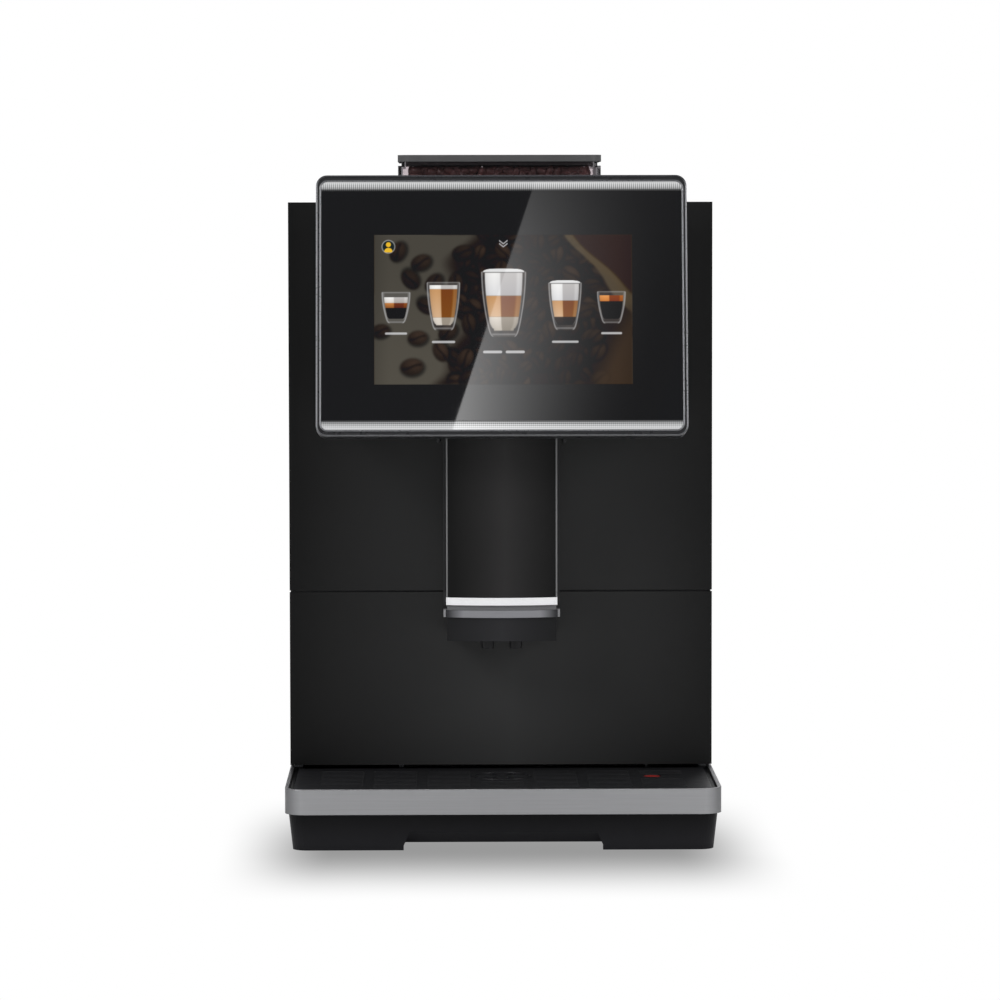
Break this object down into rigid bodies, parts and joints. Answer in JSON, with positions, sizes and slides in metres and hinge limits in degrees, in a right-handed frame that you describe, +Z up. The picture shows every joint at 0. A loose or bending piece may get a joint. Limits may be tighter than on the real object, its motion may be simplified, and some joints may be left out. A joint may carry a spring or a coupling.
{
  "type": "coffee vending machine",
  "caption": "Countertop bean-to-cup coffee machine with a tilted touch display, height-adjustable spout, drip tray, bean hopper and lift-out water tank.",
  "frame": {"origin": "centre of the footprint at the counter's surface", "axes": "+Z up, -Y is the front with the display, +X is the viewer's right"},
  "size_m": [0.37, 0.5, 0.5895],
  "materials": {
    "black_paint": "satin",
    "zinc_sheet": "satin",
    "stainless": "brushed",
    "bright_trim": "satin",
    "rim_silver": "satin",
    "black_plastic": "matte",
    "gloss_black": "gloss",
    "spout_grey": "satin",
    "dark_glass": "gloss",
    "light_bar": "matte",
    "screen": "matte",
    "clear_smoke": "clear",
    "tank_clear": "clear",
    "bean_brown": "satin",
    "rubber_black": "matte",
    "board_green": "matte",
    "pump_body": "matte",
    "hose_white": "satin",
    "brew_white": "satin",
    "float_red": "gloss",
    "brass": "satin",
    "motor_metal": "cast"
  },
  "bodies": {
    "chassis": {"base_pan": "zinc_sheet", "rubber_feet": "rubber_black", "front_frame": "zinc_sheet", "left_side_panel": "black_paint", "right_side_panel": "black_paint", "rear_panel": "black_paint", "top_cover": "black_paint", "divider_wall": "zinc_sheet", "centre_plate": "zinc_sheet", "grinder_deck": "zinc_sheet", "bin_shelf": "zinc_sheet", "tray_runners": "black_plastic", "hinge_brackets": "stainless", "tank_seat": "black_plastic", "grounds_container": "black_plastic", "grinder_housing": "black_plastic", "grinder_motor": "motor_metal", "grounds_chute": "black_plastic", "brewer_frame": "black_plastic", "brew_chamber": "brew_white", "brewer_gearmotor": "motor_metal", "boiler": "stainless", "water_pump": "pump_body", "water_hoses": "hose_white", "power_board": "board_green", "fan_frame": "black_plastic", "power_inlet": "black_plastic", "switch_frame": "black_plastic", "water_inlet_fitting": "brass", "drain_spigot": "black_plastic", "case_screws": "stainless"},
    "door": {"door_shell": "black_plastic", "upper_front_panel": "black_paint", "lower_front_panel": "black_paint", "display_housing": "black_plastic", "display_frame": "black_plastic", "display_trim": "bright_trim", "display_glass": "dark_glass", "light_strips": "light_bar", "lcd_panel": "screen", "column_shell": "black_plastic", "spout_rails": "stainless"},
    "spout": {"spout_cover": "gloss_black", "spout_trim": "bright_trim", "spout_head": "spout_grey"},
    "drip_tray": {"drip_tray": "black_plastic", "tray_rim": "rim_silver"},
    "grid": {"drip_grid": "black_paint"},
    "float": {"tray_float": "float_red"},
    "hopper": {"bean_hopper": "clear_smoke", "coffee_beans": "bean_brown"},
    "hopper_lid": {"hopper_lid": "black_plastic"},
    "hopper_knob": {"hopper_lock_knob": "black_plastic"},
    "tank": {"water_tank": "tank_clear"},
    "tank_lid": {"tank_lid": "black_plastic"},
    "grinding_burr": {"burr_rotor": "stainless"},
    "fan": {"fan_rotor": "black_plastic"},
    "piston": {"brewer_piston": "brew_white", "brewer_spindle": "stainless"},
    "power_rocker": {"switch_rocker": "float_red"}
  },
  "joints": [
    {"name": "door_hinge", "type": "hinge", "parent": "chassis", "child": "door", "pos_m": [-0.179, -0.0825, 0.3], "axis": [0, 0, -1], "range_deg": [0, 105]},
    {"name": "spout_height", "type": "slide", "parent": "door", "child": "spout", "axis": [0, 0, 1], "range_m": [-0.04, 0.06]},
    {"name": "tray_slide", "type": "slide", "parent": "chassis", "child": "drip_tray", "axis": [0, -1, 0], "range_m": [0, 0.17]},
    {"name": "grid_lift", "type": "slide", "parent": "drip_tray", "child": "grid", "axis": [0, 0, 1], "range_m": [0, 0.06]},
    {"name": "float_rise", "type": "slide", "parent": "drip_tray", "child": "float", "axis": [0, 0, 1], "range_m": [0, 0.005]},
    {"name": "hopper_lift", "type": "slide", "parent": "chassis", "child": "hopper", "axis": [0, 0, 1], "range_m": [0, 0.15]},
    {"name": "hopper_lid_lift", "type": "slide", "parent": "hopper", "child": "hopper_lid", "axis": [0, 0, 1], "range_m": [0, 0.08]},
    {"name": "hopper_knob_turn", "type": "hinge", "parent": "hopper", "child": "hopper_knob", "pos_m": [0, 0.03, 0.56], "axis": [0, 0, 1], "range_deg": [0, 90]},
    {"name": "tank_lift", "type": "slide", "parent": "chassis", "child": "tank", "axis": [0, 0, 1], "range_m": [0, 0.51]},
    {"name": "tank_lid_lift", "type": "slide", "parent": "tank", "child": "tank_lid", "axis": [0, 0, 1], "range_m": [0, 0.06]},
    {"name": "burr_spin", "type": "hinge", "parent": "chassis", "child": "grinding_burr", "pos_m": [0, 0.03, 0.42], "axis": [0, 0, 1], "continuous": true},
    {"name": "fan_spin", "type": "hinge", "parent": "chassis", "child": "fan", "pos_m": [0.11, 0.224, 0.44], "axis": [0, -1, 0], "continuous": true},
    {"name": "piston_lift", "type": "slide", "parent": "chassis", "child": "piston", "axis": [0, 0, 1], "range_m": [0, 0.0485]},
    {"name": "power_rock", "type": "hinge", "parent": "chassis", "child": "power_rocker", "pos_m": [0.088, 0.235, 0.06], "axis": [0, 0, 1], "range_deg": [-8, 8]}
  ]
}
